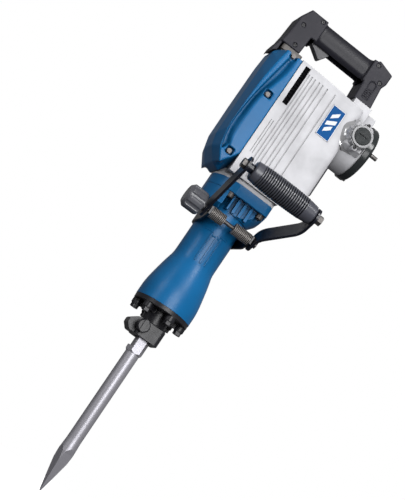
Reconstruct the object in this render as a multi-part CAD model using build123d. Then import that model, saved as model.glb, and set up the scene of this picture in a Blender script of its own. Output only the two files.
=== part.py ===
from build123d import *
import math
import os

# An electric demolition hammer (breaker), standing upright with its chisel down.
# Z is the tool axis, up towards the D-handle. X points from the gear cover to the motor's
# tail cover. The nameplate and the side handle are on the -Y side. The origin is the mouth
# of the hexagon tool socket. All sizes are in millimetres.

# ---- driving dimensions -------------------------------------------------------------------
HEX_FLATS = 30.0            # tool shank, across flats
STRIKE_TRAVEL = 26.0        # how far chisel, anvil and ram rise when the tool is pressed in
PIN_X, PIN_Z, PIN_R = -19.0, 18.0, 8.0
CHISEL_TIP, CHISEL_TOP = -327.0, 92.0
HEX_END, SHAFT_END, SHAFT_R = -31.0, -220.0, 14.2
POINT_TURN = 20.0           # degrees that the four-sided point is turned from the hexagon

BARREL_R = 43.0             # cylinder case where the side handle clamps
FLANGE_R = 58.0             # front end of the cylinder case
BORE_R = 34.0
CASE_BOTTOM, CASE_TOP = 68.0, 336.0
FRONT_BOLTS = 6
FRONT_BOLT_CIRCLE = 47.0
FRONT_BOLT_ANGLE = -15.0
FLANGE_BOLTS = [(45, -46), (45, 46), (-25, -48), (-25, 48)]

TOOL_BUSH_TOP = CHISEL_TOP + STRIKE_TRAVEL + 4
ANVIL_FOOT = CHISEL_TOP + 0.4
ANVIL_R = 14.8
ANVIL_FLANGE_LOW, ANVIL_FLANGE_HIGH = 152.0, 170.0
ANVIL_TOP = 218.0
GUIDE_TOP = 230.0
RAM_LOW, RAM_TOP = 240.0, 292.0
RING_LOW, RING_HEIGHT, RING_ROOT = 262.0, 5.0, 27.0
LINER_R = 30.0
LINER_TOP = 392.0

HOUSING_LEFT, HOUSING_RIGHT = -56.0, 101.0
HOUSING_HALF = 60.0
CAVITY_HALF = 55.5
WALL_LEFT, WALL_RIGHT = HOUSING_LEFT, -44.0
GROOVES = [-31, -24, -16.5, -6.3, 2, 13.4, 32]
FINE_GROOVES = [-43.5, -38.5]
STATOR_SEATS = [(8, 14), (60, 66)]
MOTOR_Z = 544.0
DRUM_R, DRUM_END = 57.0, 142.0
TAIL_R, TAIL_END = 60.0, 158.0
TAIL_SCREW_R = 54.0
TAIL_SCREW_ANGLES = [-175, -65, 65]
BRUSH_X, BRUSH_Z = 116.0, 548.0
BRUSH_FRONT = 80.0          # how far each brush tower stands out from the middle plane
BRUSH_SCREW_Z = [BRUSH_Z - 25.8, BRUSH_Z + 25.8]

COVER_TOP = 602.0
COVER_FLAT = 25.0           # the cover keeps its full outline this far to each side
COVER_BOLTS = [(-75.5, 599.0), (-75.5, 507.0), (-75.5, 374.0)]
CHANNEL_DEPTH = 10.0
COVER_SEAT = 52.5           # the cover bolts' heads sit this far from the middle plane

PRESSURE = math.radians(20)
BACKLASH = 0.25
TEETH_PINION, TEETH_FIRST, TEETH_FINAL = 12, 50, 42
MODULE_FAST, MODULE_SLOW = 1.25, 2.0
FIRST_Z = MOTOR_Z - MODULE_FAST * (TEETH_PINION + TEETH_FIRST) / 2
CRANK_Z = FIRST_Z - MODULE_SLOW * (TEETH_PINION + TEETH_FINAL) / 2
THROW = 18.0
ROD_LENGTH = 72.0
PISTON_PIN_Z = CRANK_Z - THROW - ROD_LENGTH

HANDLE_HALF = 27.0
GRIP_HALF = 21.0
GRIP_BOTTOM, GRIP_TOP = 663.0, 711.0
GRIP_X = (-50.0, 68.0)      # ends of the waisted grip between the two legs
HANDLE_SCREWS = [(-89, 674), (-60, 704), (80, 706), (101, 678), (-81, 631)]
LEFT_PAD = (-100.0, -54.0, 24.0)
LEG_SCREWS = [(x, y) for x in (-92, 94) for y in (-11, 11)]
LEG_FLOOR = 626.0
INLET_X, INLET_Z = -88.0, 648.0
LOCK_X, LOCK_Z = -30.0, 688.0
TRIGGER_X, TRIGGER_Z = -48.0, 667.0

CLAMP_Y, CLAMP_Z = -70.0, 256.5
CLAMP_LOW, CLAMP_HIGH = 240.0, 272.0
SIDE_GRIP_Y, SIDE_GRIP_Z = -169.0, 338.3
ARM_LENGTH = math.hypot(SIDE_GRIP_Y - CLAMP_Y, SIDE_GRIP_Z - CLAMP_Z)
ARM_RISE = math.degrees(math.atan2(SIDE_GRIP_Z - CLAMP_Z, CLAMP_Y - SIDE_GRIP_Y))
GRIP_LEFT, GRIP_RIGHT = -41.5, 97.5
ARM_THICK, ARM_WIDTH = 5.0, 35.0
ARM_LEFT_X, ARM_LOW_X, ARM_HIGH_X = -54.9, 55.0, 101.5


# ---- helpers ------------------------------------------------------------------------------
def block(x0, x1, y0, y1, z0, z1):
    """A box between two corners."""
    middle = Pos((x0 + x1) / 2, (y0 + y1) / 2, (z0 + z1) / 2)
    return middle * Box(x1 - x0, y1 - y0, z1 - z0)


def along(axis, u, v):
    """Moves a solid made about Z so that it lies along axis; u and v are the other two."""
    if axis == "x":
        return Pos(0, u, v) * Rot(0, 90, 0)
    if axis == "y":
        return Pos(u, 0, v) * Rot(-90, 0, 0)
    return Pos(u, v, 0)


def rod(axis, u, v, radius, start, stop):
    """A cylinder along axis, from start to stop."""
    solid = Pos(0, 0, (start + stop) / 2) * Cylinder(radius, stop - start)
    return along(axis, u, v) * solid


def tube(axis, u, v, outer, inner, start, stop):
    return rod(axis, u, v, outer, start, stop) - rod(axis, u, v, inner, start, stop)


def hexagon(axis, u, v, flats, start, stop):
    """A hexagonal bar along axis."""
    face = RegularPolygon(flats / 2, 6, major_radius=False)
    solid = extrude(Plane.XY.offset(start) * face, stop - start, dir=(0, 0, 1))
    return along(axis, u, v) * solid


def outline(points, rounding=0.0):
    """A closed face through points, with its corners rounded."""
    face = make_face(Polyline(*points, close=True))
    if rounding:
        face = fillet(face.vertices(), rounding)
    return face


def slab_x(face, x0, x1):
    """Extrude a face drawn in (y, z) from x0 to x1."""
    return extrude(Plane.YZ.offset(x0) * face, x1 - x0, dir=(1, 0, 0))


def slab_y(face, y0, y1):
    """Extrude a face drawn in (x, z) from y0 to y1."""
    return extrude(Plane.XZ.offset(-y1) * face, y1 - y0, dir=(0, -1, 0))


def slab_z(face, z0, z1):
    """Extrude a face drawn in (x, y) from z0 to z1."""
    return extrude(Plane.XY.offset(z0) * face, z1 - z0, dir=(0, 0, 1))


def turned(face, axis="z", u=0.0, v=0.0):
    """Revolve a face drawn in (radius, height) about axis."""
    return along(axis, u, v) * revolve(Plane.XZ * face, Axis.Z)


def both_sides(solid):
    """A solid and its mirror image across the XZ plane."""
    return [solid, mirror(solid, Plane.XZ)]


def hex_bolt(axis, u, v, shank_r, head_flats, seat, tip, head):
    """A hexagon bolt: its head stands head high outside seat, its shank ends at tip."""
    outward = -1 if tip > seat else 1
    shank = rod(axis, u, v, shank_r, *sorted((seat, tip)))
    washer = rod(axis, u, v, head_flats * 0.62, *sorted((seat, seat + outward * min(head, 1.2))))
    return shank + washer + hexagon(axis, u, v, head_flats, *sorted((seat, seat + outward * head)))


def socket_screw(axis, u, v, shank_r, seat, tip, head):
    """A cap screw with a hexagon socket in its head."""
    outward = -1 if tip > seat else 1
    top = seat + outward * head
    body = rod(axis, u, v, shank_r, *sorted((seat, tip)))
    body += rod(axis, u, v, shank_r * 1.7, *sorted((seat, top)))
    return body - hexagon(axis, u, v, shank_r * 1.6, *sorted((top, top - outward * head * 0.6)))


def save(name, *solids):
    """Write one node, as one STEP file of one or more separate solids."""
    pieces = [piece for solid in solids for piece in solid.solids()]
    whole = pieces[0] if len(pieces) == 1 else Compound(children=pieces)
    whole.label = name
    export_step(whole, f"parts/{name}.step")


# ---- tool end -----------------------------------------------------------------------------
def chisel():
    """Bull point: a hexagon shank with a side notch, a round shaft and a four-sided point."""
    shank = hexagon("z", 0, 0, HEX_FLATS, HEX_END, CHISEL_TOP)
    shank &= turned(outline([(0, HEX_END - 1), (14.6, HEX_END), (17.6, HEX_END + 4), (17.6, CHISEL_TOP - 3),
                             (14.6, CHISEL_TOP), (0, CHISEL_TOP)]))
    shank -= block(-20, PIN_X + PIN_R + 0.4, -20, 20, -20, PIN_Z + PIN_R + 0.2)
    shaft = rod("z", 0, 0, SHAFT_R, SHAFT_END, HEX_END + 1)
    upper, waist, tip = [Plane.XY.offset(z) * Rectangle(side, side)
                         for z, side in ((-188, 52), (-247, 25.5), (CHISEL_TIP, 2.4))]
    facets = Rot(0, 0, POINT_TURN) * (loft([upper, waist]) + loft([waist, tip]))
    point = turned(outline([(0, SHAFT_END + 0.5), (SHAFT_R, SHAFT_END), (15.4, -245), (14.5, -264),
                            (3.2, -323), (1.5, CHISEL_TIP), (0, CHISEL_TIP)]))
    return shank + shaft + (point & facets)


def bolt_places(count, radius, first_angle):
    """Points spaced evenly round the tool axis."""
    angles = [math.radians(first_angle + 360 * k / count) for k in range(count)]
    return [(radius * math.cos(a), radius * math.sin(a)) for a in angles]


def front_bolt_places():
    return bolt_places(FRONT_BOLTS, FRONT_BOLT_CIRCLE, FRONT_BOLT_ANGLE)


def front_cover():
    """Cast nose: a bolted rim, a sleeve, and the socket block with the ear for the cross pin."""
    body = rod("z", 0, 0, FLANGE_R - 0.6, 59, CASE_BOTTOM)
    body = chamfer(body.edges().sort_by(Axis.Z)[0], 1.5)
    for x, y in front_bolt_places():
        boss = rod("z", x, y, 9.8, 50, 60)
        inward = Rot(0, 0, math.degrees(math.atan2(y, x))) * block(22, 44, -5, 5, 50, 60)
        body += boss + inward
    body += rod("z", 0, 0, 25, 30, 60)
    block_plan = outline([(-25, -27), (27, -27), (27, 27), (-25, 27)], 9)
    body += chamfer(slab_z(block_plan, 0, 33).edges().group_by(Axis.Z)[-1], 2)
    ear = outline([(-24, 33), (-33, 30), (-44.5, 21), (-44.5, 11), (-35, 0.5), (-14, 0.5), (-14, 33)], 5)
    body += slab_y(ear, -18, 18)
    body -= hexagon("z", 0, 0, HEX_FLATS + 0.5, -1, CASE_BOTTOM + 1)
    body -= rod("y", PIN_X, PIN_Z, PIN_R + 0.1, -30, 30)
    for x, y in front_bolt_places():
        body -= rod("z", x, y, 4.2, 49, CASE_BOTTOM + 1)
    return body


def front_bolts():
    return [hex_bolt("z", x, y, 4, 14, 50, 88, 8) for x, y in front_bolt_places()]


def retainer_pin():
    """Cross pin that locks the shank: a relief on its far side frees the tool at half a turn."""
    pin = rod("y", PIN_X, PIN_Z, PIN_R, -29, 31)
    pin -= block(PIN_X - 9, PIN_X - 1.4, -14, 14, PIN_Z - 9, PIN_Z + 9)
    head = rod("y", PIN_X, PIN_Z, 12.6, -40, -27.3)
    head = chamfer(head.edges().group_by(Axis.Y)[0], 2.2)
    wing = outline([(PIN_X - 4, PIN_Z - 12), (PIN_X + 4, PIN_Z - 12),
                    (PIN_X + 4, PIN_Z + 12), (PIN_X - 4, PIN_Z + 12)], 3)
    head += slab_y(wing, -43, -39) & rod("y", PIN_X, PIN_Z, 12, -44, -38)
    ring = tube("y", PIN_X, PIN_Z, 12.6, PIN_R - 0.01, 27.3, 31)
    return pin + head + ring


# ---- striking mechanism -------------------------------------------------------------------
def tool_bush():
    """Hexagon-bored bush for the shank, relieved on the outside."""
    bush = rod("z", 0, 0, BORE_R - 0.1, CASE_BOTTOM, TOOL_BUSH_TOP)
    bush -= tube("z", 0, 0, BORE_R + 1, 25, CASE_BOTTOM + 10, TOOL_BUSH_TOP - 10)
    return bush - hexagon("z", 0, 0, HEX_FLATS + 0.5, CASE_BOTTOM - 1, TOOL_BUSH_TOP + 1)


def anvil_guide():
    """Two-part sleeve in one: a lower collar, the anvil chamber and an upper collar."""
    sleeve = rod("z", 0, 0, BORE_R - 0.1, TOOL_BUSH_TOP, GUIDE_TOP)
    sleeve -= rod("z", 0, 0, ANVIL_R + 0.3, TOOL_BUSH_TOP - 1, GUIDE_TOP + 1)
    for low, high in ((TOOL_BUSH_TOP + 6, 146), (205, GUIDE_TOP - 6)):
        sleeve -= tube("z", 0, 0, BORE_R + 1, 22, low, high)
    return sleeve - rod("z", 0, 0, 27.5, ANVIL_FLANGE_LOW - 0.3, ANVIL_FLANGE_HIGH + STRIKE_TRAVEL + 1)


def anvil():
    r = ANVIL_R
    face = outline([(0, ANVIL_FOOT), (13.4, ANVIL_FOOT), (r, ANVIL_FOOT + 2), (r, ANVIL_FLANGE_LOW),
                    (26, ANVIL_FLANGE_LOW), (26, ANVIL_FLANGE_HIGH - 3), (23, ANVIL_FLANGE_HIGH),
                    (r, ANVIL_FLANGE_HIGH), (r, ANVIL_TOP - 2), (12.8, ANVIL_TOP), (0, ANVIL_TOP)])
    return turned(face)


def ram():
    """Free piston that strikes the anvil, with the seat of its sealing ring."""
    foot, outer = ANVIL_TOP + 0.4, LINER_R - 0.05
    face = outline([(0, foot), (12.4, foot), (14, foot + 2), (14, RAM_LOW), (outer, RAM_LOW),
                    (outer, RING_LOW), (RING_ROOT, RING_LOW), (RING_ROOT, RING_LOW + RING_HEIGHT),
                    (outer, RING_LOW + RING_HEIGHT), (outer, RAM_TOP - 1), (LINER_R - 1, RAM_TOP),
                    (0, RAM_TOP)])
    return turned(face)


def cylinder_liner():
    """Ground cylinder with two pairs of air ports."""
    liner = tube("z", 0, 0, BORE_R - 0.1, LINER_R, GUIDE_TOP, LINER_TOP)
    return liner - rod("x", 0, 312, 2, -40, 40) - rod("y", 0, 320, 2, -40, 40)


def piston():
    low, high = PISTON_PIN_Z - 26, PISTON_PIN_Z + 15
    body = rod("z", 0, 0, LINER_R - 0.05, low, high)
    body -= tube("z", 0, 0, LINER_R + 1, RING_ROOT, low + 6, low + 6 + RING_HEIGHT)
    body -= block(-8.5, 8.5, -17, 17, PISTON_PIN_Z - 13, high + 1)
    return body - rod("x", 0, PISTON_PIN_Z, 6.05, -31, 31)


def sealing_ring(low):
    return tube("z", 0, 0, LINER_R - 0.02, RING_ROOT, low, low + RING_HEIGHT)


def wrist_pin():
    return rod("x", 0, PISTON_PIN_Z, 6, -27, 27)


def connecting_rod():
    """Two eyes on an I-section shank, standing at bottom dead centre."""
    pin_z = CRANK_Z - THROW
    body = rod("x", 0, pin_z, 13, -8, 8) + rod("x", 0, PISTON_PIN_Z, 10.5, -8, 8)
    shank = block(-6, 6, -7, 7, PISTON_PIN_Z, pin_z)
    shank -= block(-7, -2.5, -4.5, 4.5, PISTON_PIN_Z + 14, pin_z - 16)
    shank -= block(2.5, 7, -4.5, 4.5, PISTON_PIN_Z + 14, pin_z - 16)
    body += shank
    body -= rod("x", 0, pin_z, 7.55, -9, 9)
    return body - rod("x", 0, PISTON_PIN_Z, 6.05, -9, 9)


def crank_pin():
    """Journal in the rod's big end; its web end stops short, where the linkage is opened."""
    pin_z = CRANK_Z - THROW
    return rod("x", 0, pin_z, 7.5, -11.4, 9) + rod("x", 0, pin_z, 10, 9, 11.5)


# ---- gears and motor ----------------------------------------------------------------------
def involute(angle):
    return math.tan(angle) - angle


def gear_face(module, teeth, shift, tooth_at, flank_steps=3):
    """The outline of a spur gear with involute flanks; tooth_at is the angle of one tooth."""
    pitch_r = module * teeth / 2
    base_r = pitch_r * math.cos(PRESSURE)
    tip_r = pitch_r + module * (0.95 + shift)
    root_r = pitch_r - module * (1.25 - shift)
    thickness = module * (math.pi / 2 + 2 * shift * math.tan(PRESSURE)) - BACKLASH
    flank_r = max(base_r, root_r)
    steps = range(flank_steps + 1)
    radii = [flank_r + (tip_r - flank_r) * k / flank_steps for k in steps]
    at_pitch = thickness / (2 * pitch_r) + involute(PRESSURE)
    halves = [at_pitch - involute(math.acos(base_r / r)) for r in radii]
    flank = list(zip(radii, halves))
    if root_r < base_r:
        flank.insert(0, (root_r, halves[0]))
    points = []
    for tooth in range(teeth):
        middle = math.radians(tooth_at + 360 * tooth / teeth)
        turns = [(r, middle - half) for r, half in flank]
        turns += [(r, middle + half) for r, half in reversed(flank)]
        points += [(r * math.cos(a), r * math.sin(a)) for r, a in turns]
    return make_face(Polyline(*points, close=True))


def gear(module, teeth, shift, tooth_at, centre_z, x0, x1):
    """A gear about the X direction, at centre_z."""
    return Pos(0, 0, centre_z) * slab_x(gear_face(module, teeth, shift, tooth_at), x0, x1)


def armature_shaft():
    """Shaft with the drive pinion cut on its left end."""
    shaft = rod("x", 0, MOTOR_Z, 7.45, -58.6, -38) + rod("x", 0, MOTOR_Z, 8.5, -38, 132)
    shaft += rod("x", 0, MOTOR_Z, 5.95, 132, 152.5)
    return shaft + gear(MODULE_FAST, TEETH_PINION, 0.3, -90, MOTOR_Z, -76, -58.6)


def armature_core():
    core = tube("x", 0, MOTOR_Z, 29.5, 8.5, 4, 70)
    for k in range(14):
        core -= Pos(0, 0, MOTOR_Z) * Rot(360 * k / 14, 0, 0) * block(3, 71, -1.2, 1.2, 18, 31)
    return core


def armature_windings():
    left = outline([(9, -10), (22, -10), (27, -4), (27, 3.9), (9, 3.9)])
    right = outline([(9, 70.1), (27, 70.1), (27, 80), (21, 88), (9, 88)])
    return [turned(left, "x", 0, MOTOR_Z), turned(right, "x", 0, MOTOR_Z)]


def commutator():
    """Copper bars on a sleeve."""
    bars = tube("x", 0, MOTOR_Z, 19, 8.5, 102, 129)
    for k in range(24):
        bars -= Pos(0, 0, MOTOR_Z) * Rot(15 * k, 0, 0) * block(101, 130, -0.4, 0.4, 17, 20)
    return bars


def cooling_fan():
    fan = tube("x", 0, MOTOR_Z, 46, 8.5, -36, -33) + tube("x", 0, MOTOR_Z, 14, 8.5, -36, -18)
    for k in range(12):
        fan += Pos(0, 0, MOTOR_Z) * Rot(30 * k, 0, 0) * block(-34, -20, -1, 1, 13, 45)
    return fan


def stator_core():
    core = tube("x", 0, MOTOR_Z, 49.8, 30.4, 6, 68)
    for slot in both_sides(block(5, 69, -42, -24, MOTOR_Z - 16, MOTOR_Z + 16)):
        core -= slot
    return core


def field_coils():
    """Two saddle coils at each end of the stator, drawn as crescents above and below."""
    ring = tube("x", 0, MOTOR_Z, 46, 32, -12, 5.9) + tube("x", 0, MOTOR_Z, 46, 32, 68.1, 84)
    gap = block(-13, 85, -60, 60, MOTOR_Z - 8, MOTOR_Z + 8)
    return ring - gap


def bearing(centre_z, outer, inner, x0, x1):
    """A shielded ball bearing, its two rings and shields drawn as one ring with a groove."""
    body = tube("x", 0, centre_z, outer, inner, x0, x1)
    band = (outer - inner) * 0.28
    for low, high in ((x0, x0 + 0.6), (x1 - 0.6, x1)):
        body -= tube("x", 0, centre_z, outer - band, inner + band, low, high)
    return body


def bearings():
    """Motor, first-gear and crank bearings, all seated in fixed castings."""
    return [bearing(MOTOR_Z, 20, 7.5, WALL_LEFT, WALL_RIGHT),
            bearing(FIRST_Z, 12, 6.05, WALL_LEFT, WALL_RIGHT),
            bearing(CRANK_Z, 23.5, 10.05, WALL_LEFT, WALL_RIGHT),
            bearing(MOTOR_Z, 16, 6, 144, 152.6)]


def first_gear():
    """The driven gear of the fast pair and the pinion of the slow pair on one shaft."""
    gap_up = 90 + 180 / TEETH_FIRST
    shaft = rod("x", 0, FIRST_Z, 6, -98, -45)
    wheel = gear(MODULE_FAST, TEETH_FIRST, -0.3, gap_up, FIRST_Z, -74, -62)
    pinion = gear(MODULE_SLOW, TEETH_PINION, 0.3, -90, FIRST_Z, -94, -74)
    return shaft + wheel + pinion


def final_gear():
    gap_up = 90 + 180 / TEETH_FINAL
    wheel = gear(MODULE_SLOW, TEETH_FINAL, -0.3, gap_up, CRANK_Z, -92, -79)
    for k in range(5):
        wheel -= Pos(0, 0, CRANK_Z) * Rot(72 * k, 0, 0) * rod("x", 0, 26, 7, -93, -78)
    return wheel - rod("x", 0, CRANK_Z, 10, -93, -78)


def crankshaft():
    """Shaft and counterweighted web, with the blind seat of the crank pin."""
    shaft = rod("x", 0, CRANK_Z, 10, -96, -30)
    web = rod("x", 0, CRANK_Z, 29, -30, -12) & block(-31, -11, -22, 22, CRANK_Z - 30, CRANK_Z + 30)
    return shaft + web - rod("x", 0, CRANK_Z - THROW, 7.6, -20, -11)


def commutator_brushes():
    """Carbon blocks that bear on the commutator from -Y and +Y."""
    return both_sides(block(BRUSH_X - 6, BRUSH_X + 6, -52, -19.4, BRUSH_Z - 8, BRUSH_Z))


def brush_holders():
    outer = block(BRUSH_X - 8.5, BRUSH_X + 8.5, -77, -24, BRUSH_Z - 10.5, BRUSH_Z + 2.5)
    return both_sides(outer - block(BRUSH_X - 6.1, BRUSH_X + 6.1, -78, -23, BRUSH_Z - 8.1, BRUSH_Z + 0.1))


def brush_springs():
    """Round springs behind the carbons, each a closed sleeve of its outer shape."""
    return both_sides(tube("y", BRUSH_X, BRUSH_Z - 4, 3.8, 2.6, -76, -52.2))


# ---- castings -----------------------------------------------------------------------------
def flange_plan(margin=0.0):
    """Joint face between cylinder case and housing: square on the right, round on the left."""
    right, left, half = 57 - margin, -67 + margin, 57 - margin
    corner = 12
    edges = [Line((-20, -half), (right - corner, -half)),
             RadiusArc((right - corner, -half), (right, -half + corner), -corner),
             Line((right, -half + corner), (right, half - corner)),
             RadiusArc((right, half - corner), (right - corner, half), -corner),
             Line((right - corner, half), (-20, half)),
             ThreePointArc((-20, half), (-52, 38 - margin), (left, 10)),
             Line((left, 10), (left, -10)),
             ThreePointArc((left, -10), (-52, -38 + margin), (-20, -half))]
    return make_face(edges)


def cylinder_case():
    """Flared barrel, turned, with ribbed shoulders up to a bolted flange."""
    flare = Spline((FLANGE_R, 84), (57, 101), (54, 120), (50.4, 139), (46.2, 158), (BARREL_R, 180),
                   tangents=[(0, 1), (0, 1)])
    edges = [Polyline((BARREL_R, 180), (BARREL_R, 314), (BORE_R, 314), (BORE_R, CASE_BOTTOM),
                      (FLANGE_R, CASE_BOTTOM), (FLANGE_R, 84)),
             flare]
    body = turned(make_face(edges))
    shoulder = slab_z(flange_plan(), 282, 314)
    cone = loft([Plane.XY.offset(279) * Circle(BARREL_R), Plane.XY.offset(314) * Circle(72)])
    bulge = loft([Plane.XY.offset(273) * Circle(BARREL_R), Plane.XY.offset(292) * Circle(72)])
    bulge += rod("z", 0, 0, 72, 292, 314)
    body += shoulder & cone & block(-5, 60, -46, 46, 270, 320)
    body += slab_z(flange_plan(), 262, 314) & bulge & block(-70, -30, -60, 60, 260, 320)
    for x in (-17, -3, 11, 25):
        body += block(x - 3, x + 3, -50, -38, 284, 314)
        body += block(x - 3, x + 3, 38, 50, 284, 314)
    body += chamfer(slab_z(flange_plan(), 314, CASE_TOP).edges().group_by(Axis.Z)[0], 1.5)
    for k in range(3):
        body += Rot(0, 0, -15 + 15 * k) * block(-1.5, 1.5, -BARREL_R - 1.2, -BARREL_R + 2, 172, 232)
    body -= rod("z", 0, 0, BORE_R, CASE_BOTTOM - 1, CASE_TOP + 1)
    inside = BORE_R - 1
    for pocket in ([(inside, 97), (49, 97), (48, 112), (43, 138), (39, 156), (inside, 158)],
                   [(inside, 172), (38.5, 176), (38.5, 216), (inside, 220)],
                   [(inside, 240), (38.5, 244), (38.5, 313), (44, 317), (44, 322), (inside, 326)]):
        body -= turned(outline(pocket))
    for x, y in front_bolt_places():
        body -= rod("z", x, y, 4.05, CASE_BOTTOM - 1, 92)
    for x, y in FLANGE_BOLTS:
        body -= rod("z", x, y, 7.8, 270, 314)
        body -= rod("z", x, y, 4.05, 313, CASE_TOP + 1)
    return body


def flange_bolts():
    return [socket_screw("z", x, y, 4, 314, 354, 9) for x, y in FLANGE_BOLTS]


def housing_body():
    """Outer form of the motor housing, without its cavities."""
    side = outline([(HOUSING_LEFT, 345), (HOUSING_LEFT, 604), (0, 603), (60, 600), (HOUSING_RIGHT, 598),
                    (HOUSING_RIGHT, 390), (70, 384), (60, 372), (58, 345)])
    plan = outline([(HOUSING_LEFT, -HOUSING_HALF), (HOUSING_RIGHT, -HOUSING_HALF),
                    (HOUSING_RIGHT, HOUSING_HALF), (HOUSING_LEFT, HOUSING_HALF)])
    plan = fillet(plan.vertices().group_by(Axis.X)[-1], 14)
    body = slab_y(side, -HOUSING_HALF, HOUSING_HALF) & slab_z(plan, 340, 610)
    body += slab_z(flange_plan(), CASE_TOP, 346)
    saddle = slab_z(flange_plan(), CASE_TOP, 384) & block(-70, HOUSING_LEFT + 0.5, -60, 60, 330, 390)
    body += saddle - block(-70, HOUSING_LEFT + 1, -60, 60, 351, 390)
    body += rod("x", 0, MOTOR_Z, DRUM_R, 95, DRUM_END)
    body += block(76, 116, -33, 33, 590, 622) + block(105, 137, -26, 26, 585, 612)
    for boss in both_sides(brush_boss()):
        body += boss
    return body - cover_form()


def brush_boss():
    """Cast tower for one brush holder, with a skirt that runs back into the drum."""
    tower = rod("y", BRUSH_X, BRUSH_Z, 22, -BRUSH_FRONT, -20)
    skirt = loft([Plane.XZ.offset(46) * Pos(BRUSH_X - 4, BRUSH_Z) * Rectangle(52, 66),
                  Plane.XZ.offset(68) * Pos(BRUSH_X, BRUSH_Z) * Rectangle(36, 50)])
    body = tower + skirt
    for z in BRUSH_SCREW_Z:
        body += rod("y", BRUSH_X, z, 5.5, -78, -40)
    return body


def housing_cavity():
    """Motor chamber with two ring seats for the stator, crank chamber and side chamber."""
    half = CAVITY_HALF
    motor = block(WALL_RIGHT, 96.5, -half, half, 492, 595)
    for x0, x1 in STATOR_SEATS:
        motor -= block(x0, x1, -60, 60, 491, 596) - rod("x", 0, MOTOR_Z, 50, x0 - 1, x1 + 1)
    drum = rod("x", 0, MOTOR_Z, 50, 90, 135) + rod("x", 0, MOTOR_Z, 51, 134, DRUM_END + 1)
    crank = block(WALL_RIGHT, 52, -half, half, 344, 486) + rod("z", 0, 0, BORE_R, 330, 350)
    step = block(82, 131, -20, 20, 594, 606)
    for x, y in LEG_SCREWS:
        step -= rod("z", x, y, 6.5, 590, 610)
    return motor + drum + crank + block(51, 96.5, -half, half, 396, 486) + step


def brush_tower_hollow():
    """The space inside a brush tower, round the socket that holds its brush holder."""
    socket = block(BRUSH_X - 11, BRUSH_X + 11, -BRUSH_FRONT, -40, BRUSH_Z - 13, BRUSH_Z + 5)
    return rod("y", BRUSH_X, BRUSH_Z, 17.5, 5 - BRUSH_FRONT, -45) - socket


def housing():
    """Motor and crank housing: grooved sides, a vent slot, a drum for the commutator."""
    body = housing_body()
    for x in GROOVES:
        for y in (-HOUSING_HALF, HOUSING_HALF):
            body -= block(x - 1.4, x + 1.4, y - 1.2, y + 1.2, 352, 588)
    for x in FINE_GROOVES:
        for side in both_sides(block(x - 0.5, x + 0.5, -61, 1.2 - HOUSING_HALF, 396, 472)):
            body -= side
    body -= housing_cavity()
    cuts = [block(-45.6, -34.4, -61, -51, 511, 598), brush_tower_hollow(),
            block(BRUSH_X - 8.6, BRUSH_X + 8.6, -81, -20, BRUSH_Z - 10.6, BRUSH_Z + 2.6)]
    cuts += [rod("y", BRUSH_X, z, 1.95, -81, -70) for z in BRUSH_SCREW_Z]
    for cut in cuts:
        for side in both_sides(cut):
            body -= side
    for z, radius in ((MOTOR_Z, 20), (FIRST_Z, 12), (CRANK_Z, 23.5)):
        body -= rod("x", 0, z, radius, WALL_LEFT - 1, WALL_RIGHT + 1)
    for x, y in FLANGE_BOLTS:
        body -= rod("z", x, y, 4.05, CASE_TOP - 1, 355)
    for angle in TAIL_SCREW_ANGLES:
        body -= rod("x", *tail_screw_place(angle), 2.55, 130, DRUM_END + 1)
    for x, y in LEG_SCREWS:
        body -= rod("z", x, y, 3.05, 598, 623)
    return body


def cover_form():
    """Outer form of the gear cover: full in the middle, cut back towards each side face."""
    side_face = outline([(HOUSING_LEFT, 383), (HOUSING_LEFT, COVER_TOP), (-91, COVER_TOP), (-96, 570),
                         (-101, 528), (-103.5, 470), (-102.5, 410), (-96, 372), (-80, 345), (-68, 364)])
    middle = outline([(HOUSING_LEFT, 352), (HOUSING_LEFT, COVER_TOP), (-103, COVER_TOP), (-109, 594),
                      (-111, 560), (-111, 467), (-110, 396), (-104, 372), (-85, 346.5), (-67, 339)])
    form = slab_y(middle, -COVER_FLAT, COVER_FLAT)
    flank = loft([Plane.XZ.offset(HOUSING_HALF) * side_face, Plane.XZ.offset(COVER_FLAT) * middle],
                 ruled=True)
    for side in both_sides(flank):
        form += side
    return form


def channel_face(left=0.0, right=0.0):
    """Curved channel in each side of the cover, its edges moved in by left and by right."""
    m, n = left, right
    outer = Spline((-79 + m, 606), (-91 + m, 535), (-101 + m, 465), (-102 + m, 410), (-92 + m, 368 + m))
    inner = Spline((-68 - n, 606), (-71.5 - n, 545), (-84 - n, 495), (-87 - n, 450), (-86 - n, 405),
                   (-80 - n, 382 + n / 2))
    return make_face([outer, Line(outer @ 1, inner @ 1), inner, Line(inner @ 0, outer @ 0)])


def channel():
    """The channel as a solid to cut away: steep on its left, a long slope on its right."""
    top = Plane.XZ.offset(HOUSING_HALF) * channel_face()
    floor = Plane.XZ.offset(HOUSING_HALF - CHANNEL_DEPTH) * channel_face(1.5, 8)
    return slab_y(channel_face(), -HOUSING_HALF - 1, -HOUSING_HALF) + loft([top, floor])


def cover_hollow():
    """The space inside the gear cover, open towards the housing, clear of channel and bolts."""
    inside = outline([(HOUSING_LEFT, 398), (HOUSING_LEFT, 597), (-88, 597), (-95, 574), (-99.5, 535),
                      (-101.5, 470), (-100.5, 405), (-97, 390), (-88, 375), (-75, 375)])
    hollow = slab_y(inside, -CAVITY_HALF, CAVITY_HALF)
    behind = slab_y(channel_face(-3, -3), -CAVITY_HALF - 1, CHANNEL_DEPTH + 3.5 - HOUSING_HALF)
    posts = [block(x - 10.5, x + 10.5, -CAVITY_HALF - 1, -40, z - 10.5, z + 10.5) for x, z in COVER_BOLTS]
    for solid in [behind, *posts]:
        for side in both_sides(solid):
            hollow -= side
    return hollow


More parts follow.
